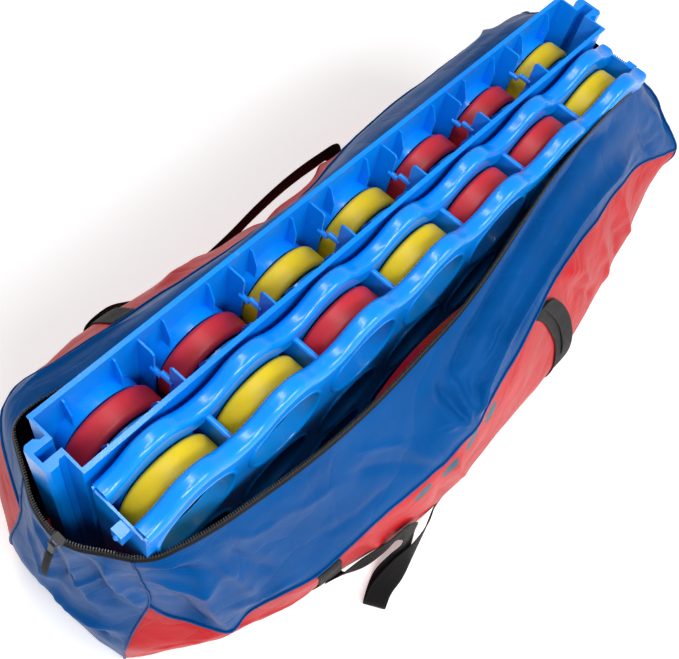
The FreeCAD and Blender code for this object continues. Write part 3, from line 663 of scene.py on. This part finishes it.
def creases(grid):
    """Small creases: ridged noise stretched along the cloth, stronger near the ends."""
    heights = np.zeros(grid.shape[:2])
    for row, column in np.ndindex(*heights.shape):
        x, y, z = grid[row, column] * MM
        broad = noise.fractal(Vector((x * 3.2, y * 3.2, z * 5.5)), 0.9, 2.1, 3)
        fine = noise.ridged_multi_fractal(Vector((x * 8 + z * 4, y * 8, z * 9 - x * 3)),
                                          0.85, 2.2, 4, 1.0, 1.9)
        ends = min(1.0, max(0.0, (abs(x) - END_FROM) / END_OVER))
        heights[row, column] = (BROAD_CREASE * broad
                                + (FINE_CREASE + END_CREASE * ends) * (fine - 1.0))
    hold = np.clip(SHARES / HEM, 0, 1) * np.clip((1 - SHARES) / CREASE_HEM, 0, 1)
    return heights * hold[:, None]


def bag_cloth():
    """The wall of cloth with its folds and creases, in metres."""
    grid = bag_grid()
    hold = np.clip(SHARES / HEM, 0, 1) * np.clip((1.02 - SHARES) / HEM, 0, 1)
    push = fold_heights(grid) * hold[:, None] + creases(grid)
    grid = grid + grid_normals(grid) * push[..., None]
    grid[..., 2] = np.maximum(grid[..., 2], FLOOR_CLEAR)
    return grid * MM


def run_length(line):
    """How far along the line each of its points lies."""
    return np.concatenate([[0], np.cumsum(np.linalg.norm(np.diff(line, axis=0), axis=1))])


def columns_from(first, count):
    """The numbers of columns first to first + count, going round past the last one."""
    return [(first + step) % AROUND for step in range(count + 1)]


def new_object(name, mesh):
    made = bpy.data.objects.new(name, mesh)
    scene.collection.objects.link(made)
    return made


def cloth_mesh(name, patch):
    """A sheet through a patch (rows, columns, 3) of points, its UV in metres of cloth."""
    rows, columns = patch.shape[:2]
    across, up = np.zeros((rows, columns)), np.zeros((rows, columns))
    across[:, 1:] = np.cumsum(np.linalg.norm(np.diff(patch, axis=1), axis=2), axis=1)
    up[1:] = np.cumsum(np.linalg.norm(np.diff(patch, axis=0), axis=2), axis=0)
    faces = []
    for row in range(rows - 1):
        for column in range(columns - 1):
            a = row * columns + column
            faces.append((a, a + 1, a + columns + 1, a + columns))
    mesh = bpy.data.meshes.new(name)
    mesh.from_pydata(patch.reshape(-1, 3).tolist(), [], faces)
    layer = mesh.uv_layers.new(name="cloth")
    flat_across, flat_up = across.mean(axis=0), up.mean(axis=1)
    corners = np.array(faces).ravel()
    uv = np.stack([flat_across[corners % columns], flat_up[corners // columns]], axis=1)
    layer.data.foreach_set("uv", uv.ravel())
    mesh.polygons.foreach_set("use_smooth", [True] * len(mesh.polygons))
    return new_object(name, mesh)


def centre_uv(piece, width):
    """Moves the UV's zero to the middle of a band, which its stitches are counted from."""
    layer = piece.data.uv_layers[0]
    values = np.empty(len(layer.data) * 2)
    layer.data.foreach_get("uv", values)
    values[::2] -= width / 2
    layer.data.foreach_set("uv", values)


def thicken(piece, thickness, offset=0.0, smooth=True, painted_shade_inside=False):
    """Real thickness and smooth curves; both stay live modifiers."""
    solid = piece.modifiers.new("thickness", "SOLIDIFY")
    solid.thickness = thickness
    solid.offset = offset
    # The inside faces can take the piece's second material, which on the bag's cloth is painted
    # shade.
    solid.material_offset = 1 if painted_shade_inside else 0
    if smooth:
        curves = piece.modifiers.new("smooth", "SUBSURF")
        curves.levels = curves.render_levels = 1
        curves.boundary_smooth = "PRESERVE_CORNERS"


def finish_piece(piece, body, material, slot_name, *stands_for):
    piece.data.materials.append(material)
    if stands_for:
        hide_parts(*stands_for)
    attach(piece, body)
    return piece


# ---- the bag's pieces -------------------------------------------------------------------
CLOTH_THICKNESS, TAPE_THICKNESS = 0.0012, 0.0009
BAG_PIECES = (               # name, rows, side, finish, slot, CAD node and flat size in metres
    ("front_side_cloth", (0, SEAM_ROW), "front", cloth_red_front, "cloth_red",
     "bag_front_side", (1.34, 0.33)),
    ("front_flap_cloth", (SEAM_ROW, ROWS), "front", cloth_blue, "cloth_blue",
     "bag_front_flap", (1.28, 0.21)),
    ("right_end_cloth", (0, ROWS), "right", cloth_blue, "cloth_blue",
     "bag_right_end", (0.36, 0.56)),
    ("back_side_cloth", (0, SEAM_ROW), "back", cloth_red, "cloth_red",
     "bag_back_side", (1.34, 0.38)),
    ("back_flap_cloth", (SEAM_ROW, ROWS), "back", cloth_blue, "cloth_blue",
     "bag_back_flap", (1.30, 0.13)),
    ("left_end_cloth", (0, ROWS), "left", cloth_blue, "cloth_blue",
     "bag_left_end", (0.24, 0.50)))
BASE_HEIGHT, BASE_RINGS, BASE_MIDDLE = 0.0015, 12, 0.02
ZIP_MEETS = (23, 22)         # columns from the front's corners to where the tapes meet
ZIP_TUCK = ((-0.6, 0.55), (0.1, 0.5), (0.25, 0.12), (0.6, 0.12))     # x, how far a tape leans in
BACK_FROM, BACK_TUCK = 0.1, 0.5
TAPE_ROWS, TEETH_AT = (-0.003, 0.003, 0.007), 0.0075
TOOTH_PITCH, TEETH_MARGIN = 0.0036, 0.01
TOOTH_HALF = (0.0011, 0.0017, 0.0017)        # along the tape, through it and up
TOOTH_CORNERS = ((-1, -1, -1), (1, -1, -1), (1, 1, -1), (-1, 1, -1),
                 (-0.6, -0.8, 1), (0.6, -0.8, 1), (0.6, 0.8, 1), (-0.6, 0.8, 1))
TOOTH_FACES = ((0, 3, 2, 1), (4, 5, 6, 7), (0, 1, 5, 4), (1, 2, 6, 5), (2, 3, 7, 6), (3, 0, 4, 7))
PIPING_LIFT, SEAM_PIPING, CORNER_PIPING = 0.0008, 0.0022, 0.0018
FACING_FROM, FACING_SPAN, FACING_ROWS = 0.30, 0.21, 6    # shares of the front's columns


def build_bag(grid, normals):
    for name, (low, high), side, material, slot_name, node, flat in BAG_PIECES:
        columns = columns_from(SIDE_START[side], COLUMNS[side])
        piece = cloth_mesh(name, grid[low:high + 1][:, columns])
        thicken(piece, CLOTH_THICKNESS, offset=-1.0, painted_shade_inside=True)
        finish_piece(piece, "bag", material, slot_name, node)
        # The inside faces get the near-black painted shade.
        piece.data.materials.append(inside_painted_shade)
    build_base(grid[0])
    build_zip(grid, normals)
    build_piping(grid, normals)
    build_facing(grid)


def build_base(floor_ring):
    """The stiff base, a flat panel that the wall of cloth is sewn round."""
    centre = np.array([0.0, 0.0, BASE_HEIGHT])
    rows = []
    for share in np.linspace(1.0, BASE_MIDDLE, BASE_RINGS):
        row = floor_ring * share + centre * (1 - share)
        row[:, 2] = BASE_HEIGHT
        rows.append(np.vstack([row, row[:1]]))
    piece = cloth_mesh("floor_cloth", np.array(rows))
    thicken(piece, CLOTH_THICKNESS, smooth=False)
    finish_piece(piece, "bag", cloth_red, "cloth_red", "bag_base")


def build_zip(grid, normals):
    """Each side's tape stands on the edge of its flap and carries a row of teeth."""
    edge, out = grid[-1], normals[-1].copy()
    out[:, 2] = 0
    out = unit(out)
    tuck = np.interp(edge[:, 0], *zip(*ZIP_TUCK))
    tuck = np.where(edge[:, 1] > BACK_FROM, BACK_TUCK, tuck)
    lean = unit(np.array([0.0, 0.0, 1.0]) - out * tuck[:, None])
    left, right = ZIP_MEETS
    front_count = left + COLUMNS["front"] + right
    for name, first, count, node in (
            ("front", AROUND - left, front_count, "zip_tape_front"),
            ("back", front_count - left + 1, AROUND - front_count - 1, "zip_tape_back")):
        columns = columns_from(first, count)
        base, way = edge[columns], lean[columns]
        piece = cloth_mesh("zip_tape_" + name + "_cloth",
                           np.array([base + way * rise for rise in TAPE_ROWS]))
        thicken(piece, TAPE_THICKNESS)
        finish_piece(piece, "bag", zip_black, "zip_black", node)
        build_teeth(name, base + way * TEETH_AT, way, out[columns])


def build_teeth(name, line, way, out):
    """A row of small moulded teeth along the tape's free edge."""
    lengths = run_length(line)
    at = np.arange(TEETH_MARGIN, lengths[-1] - TEETH_MARGIN, TOOTH_PITCH)
    place, rise, side = (np.stack([np.interp(at, lengths, table[:, k]) for k in range(3)], axis=1)
                         for table in (line, way, out))
    points, faces = [], []
    for centre, high, wide in zip(place, rise, side):
        ahead = np.cross(high, wide)
        first = len(points)
        for a, b, c in TOOTH_CORNERS:
            points.append(tuple(centre + ahead * TOOTH_HALF[0] * a + wide * TOOTH_HALF[1] * b
                                + high * TOOTH_HALF[2] * c))
        faces += [[first + corner for corner in face] for face in TOOTH_FACES]
    mesh = bpy.data.meshes.new("zip_teeth_" + name)
    mesh.from_pydata(points, [], faces)
    finish_piece(new_object("zip_teeth_" + name, mesh), "bag", zip_teeth, "zip_black")


def piping(name, points, radius):
    """A round cord of sewn piping along points, as a mesh."""
    curve = bpy.data.curves.new(name, "CURVE")
    curve.dimensions = "3D"
    spline = curve.splines.new("POLY")
    spline.points.add(len(points) - 1)
    for place, point in zip(spline.points, points):
        place.co = (*point, 1.0)
    curve.bevel_depth = radius
    curve.bevel_resolution = 2
    curve.use_fill_caps = True
    drawn = new_object(name + "_line", curve)
    bpy.context.view_layer.update()
    mesh = bpy.data.meshes.new_from_object(drawn)
    bpy.data.objects.remove(drawn)
    mesh.polygons.foreach_set("use_smooth", [True] * len(mesh.polygons))
    finish_piece(new_object(name, mesh), "bag", piping_blue, "cloth_blue")


def build_piping(grid, normals):
    """Sewn piping over each seam between panels of cloth."""
    for side in ("front", "back"):
        columns = columns_from(SIDE_START[side], COLUMNS[side])
        line = grid[SEAM_ROW, columns] + normals[SEAM_ROW, columns] * PIPING_LIFT
        piping(side + "_seam_piping", line, SEAM_PIPING)
    for side, column in SIDE_START.items():
        line = grid[1:, column] + normals[1:, column] * PIPING_LIFT
        piping(side + "_corner_piping", line, CORNER_PIPING)


def build_facing(grid):
    """A short red facing sewn inside the front zip, which swells towards its middle."""
    first = int(COLUMNS["front"] * FACING_FROM)
    count = int(COLUMNS["front"] * FACING_SPAN)
    edge = grid[-1, first:first + count + 1]
    swell = np.sin(np.linspace(0, math.pi, count + 1)) ** 0.7
    rows = []
    for share in np.linspace(0, 1, FACING_ROWS):
        row = edge.copy()
        row[:, 1] += 0.002 + 0.017 * share * swell
        row[:, 2] -= 0.003 + 0.010 * share + 0.006 * share * swell
        rows.append(row)
    piece = cloth_mesh("front_facing_cloth", np.array(rows))
    thicken(piece, TAPE_THICKNESS)
    # The facing's darker red is painted shade.
    finish_piece(piece, "bag", red_painted_shade, "cloth_red")


# ---- webbing ------------------------------------------------------------------------------
def ribbon(name, middle, across, width, thickness, body, node, material):
    """Flat webbing along middle (points in metres), its width running along across."""
    across = unit(across)
    normal = unit(np.cross(across, np.gradient(middle, axis=0)))
    patch = np.stack([middle + across * (width / 2) * cell
                      + normal * thickness * 0.25 * (1 - cell ** 2)
                      for cell in np.linspace(-1, 1, 5)], axis=1)
    piece = cloth_mesh(name, patch)
    centre_uv(piece, width)
    thicken(piece, thickness)
    return finish_piece(piece, body, material, "webbing_black", node)


def on_side(grid, normals, side, x, share):
    """The point and normal of the cloth at x (metres) and a height share."""
    columns = columns_from(SIDE_START[side], COLUMNS[side])
    row = share * ROWS
    low = int(min(row, ROWS - 1))
    part = row - low
    line, turned = (table[low, columns] * (1 - part) + table[low + 1, columns] * part
                    for table in (grid, normals))
    order = np.argsort(line[:, 0])
    place, normal = (np.array([np.interp(x, line[order, 0], table[order, k]) for k in range(3)])
                     for table in (line, turned))
    return place, unit(normal)


STRAPS = (                   # side, name, cut length and (x, height share) up the middle
    ("front", "front_left", 0.24, [(-372, 0.012), (-376, 0.2), (-384, 0.38), (-397, 0.555)]),
    ("front", "front_right", 0.34, [(236, 0.012), (232, 0.2), (214, 0.38), (176, 0.47),
                                    (124, 0.565)]),
    ("back", "back_left", 0.37, [(-375, 0.012), (-375, 0.2), (-375, 0.38), (-375, 0.555)]),
    ("back", "back_right", 0.37, [(190, 0.012), (190, 0.2), (190, 0.38), (190, 0.555)]),
)
STRAP_WIDTH, STRAP_THICKNESS, STRAP_LIFT = 0.042, 0.002, 0.0022
STRAP_ROWS, STRAP_CELLS = 34, 7


def build_straps(grid, normals):
    """Bands of webbing up each side; the first stands for the CAD's one node for all four."""
    stands_for = ["webbing_straps"]
    for side, name, length, stations in STRAPS:
        table = np.array(stations, float)
        shares = np.linspace(table[0, 1], table[-1, 1], STRAP_ROWS)
        xs = hermite(shares, table[:, 1], table[:, 0]) * MM
        rows = []
        for x, share in zip(xs, shares):
            row = []
            for cell in np.linspace(-0.5, 0.5, STRAP_CELLS):
                place, normal = on_side(grid, normals, side, x + cell * STRAP_WIDTH, share)
                row.append(place + normal * STRAP_LIFT)
            rows.append(row)
        patch = np.array(rows)
        if side == "back":
            patch = patch[:, ::-1]
        piece = cloth_mesh("strap_" + name, patch)
        centre_uv(piece, STRAP_WIDTH)
        thicken(piece, STRAP_THICKNESS)
        finish_piece(piece, "bag", webbing_black, "webbing_black", *stands_for)
        stands_for = []


FRONT_HANDLE = (             # x, y, z and the way that the width runs, millimetres
    (-380, -218, 124, 0.9, 0.1, -0.3), (-352, -230, 98, 0.5, -0.1, -0.85),
    (-318, -240, 96, 0.1, -0.25, -0.95), (-278, -252, 120, -0.2, -0.1, -0.95),
    (-250, -256, 134, -0.6, 0.0, -0.8), (-232, -262, 116, -0.95, 0.0, -0.3),
    (-228, -266, 76, -1, 0, 0.05), (-242, -270, 32, -0.85, 0.5, 0.1),
    (-284, -277, 7, -0.45, 0.88, 0), (-318, -290, 3, -0.48, 0.87, 0),
    (-332, -297, 6, -0.48, 0.87, 0), (-331, -296, 13, -0.48, 0.87, 0),
    (-312, -289, 17, -0.45, 0.88, 0.1), (-262, -286, 20, -0.1, 0.8, 0.6),
    (-222, -284, 36, 0.1, 0.35, 0.93), (-180, -276, 50, 0.1, 0.1, 1),
    (-140, -264, 42, 0, 0.1, 1), (-60, -258, 30, 0, 0.05, 1), (110, -254, 30, 0, 0.05, 1),
    (186, -254, 48, -0.5, 0, 0.86))
FRONT_HANDLE_END = ((252, 0.19), (248, 0.28), (232, 0.38), (194, 0.47), (148, 0.55))
BACK_HANDLE = (
    (-380, 310, 190, 1, 0, 0), (-376, 322, 222, 0.9, 0, -0.4), (-346, 322, 224, 0.4, 0, -0.9),
    (-290, 308, 204, 0.1, 0, -1), (-200, 302, 192, 0, 0, -1), (-100, 301, 206, 0, 0, -1),
    (-30, 300, 232, 0, 0, -1), (40, 298, 250, 0, 0, -1), (120, 297, 250, -0.2, 0, -1),
    (176, 300, 232, -0.7, 0, -0.7), (190, 300, 200, -1, 0, 0))
HANDLE_WIDTH, HANDLE_THICKNESS, HANDLE_LIFT, HANDLE_POINTS = 0.040, 0.0022, 0.0055, 280
END_WAY = (-1, 0, 0.15)      # the way that the width runs on the front handle's sewn end
TAB_TOP, TAB_LENGTH = 0.017, 0.054
TAB_WIDTH, TAB_THICKNESS, TAB_BULGE, TAB_POINTS = 0.012, 0.003, 0.0012, 16
PULL_LEAN, PULL_INSET = 0.75, 0.002


def build_handles(grid, normals):
    """Both carry handles; the front one lies on the floor and ends on the cloth."""
    front = list(FRONT_HANDLE)
    for x, share in FRONT_HANDLE_END:
        place, normal = on_side(grid, normals, "front", x * MM, share)
        front.append((*((place + normal * HANDLE_LIFT) / MM), *END_WAY))
    for name, route in (("front_handle", front), ("back_handle", BACK_HANDLE)):
        table = np.array(route, float)
        knots = run_length(table[:, :3])
        line = hermite(np.linspace(0, knots[-1], HANDLE_POINTS), knots, table)
        middle = line[:, :3] * MM
        piece = ribbon(name + "_webbing", middle, line[:, 3:], HANDLE_WIDTH, HANDLE_THICKNESS,
                       name, name, webbing_black)


def build_tab():
    """The sewn webbing tab on the zip's pull, hanging in line with it."""
    low, high = np.array(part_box("zip_pull"))
    lean = math.atan2((high[0] - low[0]) * PULL_LEAN, high[2] - low[2])
    top = np.array([high[0] - PULL_INSET, (low[1] + high[1]) / 2, high[2] - PULL_INSET])
    down = np.array([-math.sin(lean), 0.0, -math.cos(lean)])
    out = np.array([-math.cos(lean), 0.0, math.sin(lean)])
    at = np.linspace(0, 1, TAB_POINTS)
    middle = (top + down * (TAB_TOP + TAB_LENGTH * at[:, None])
              + out * (TAB_BULGE * np.sin(at * math.pi))[:, None])
    across = np.tile([0.0, 1.0, 0.0], (len(at), 1))
    piece = ribbon("zip_pull_tab_webbing", middle, across, TAB_WIDTH, TAB_THICKNESS,
                   "zip_pull", "zip_pull_tab", tab_black)


make_camera()
make_floor()
make_sky()
for lamp in LIGHTS:
    area_light(*lamp)
paint_cad()
cloth = bag_cloth()
cloth_normals = grid_normals(cloth)
build_bag(cloth, cloth_normals)
build_straps(cloth, cloth_normals)
build_handles(cloth, cloth_normals)
build_tab()
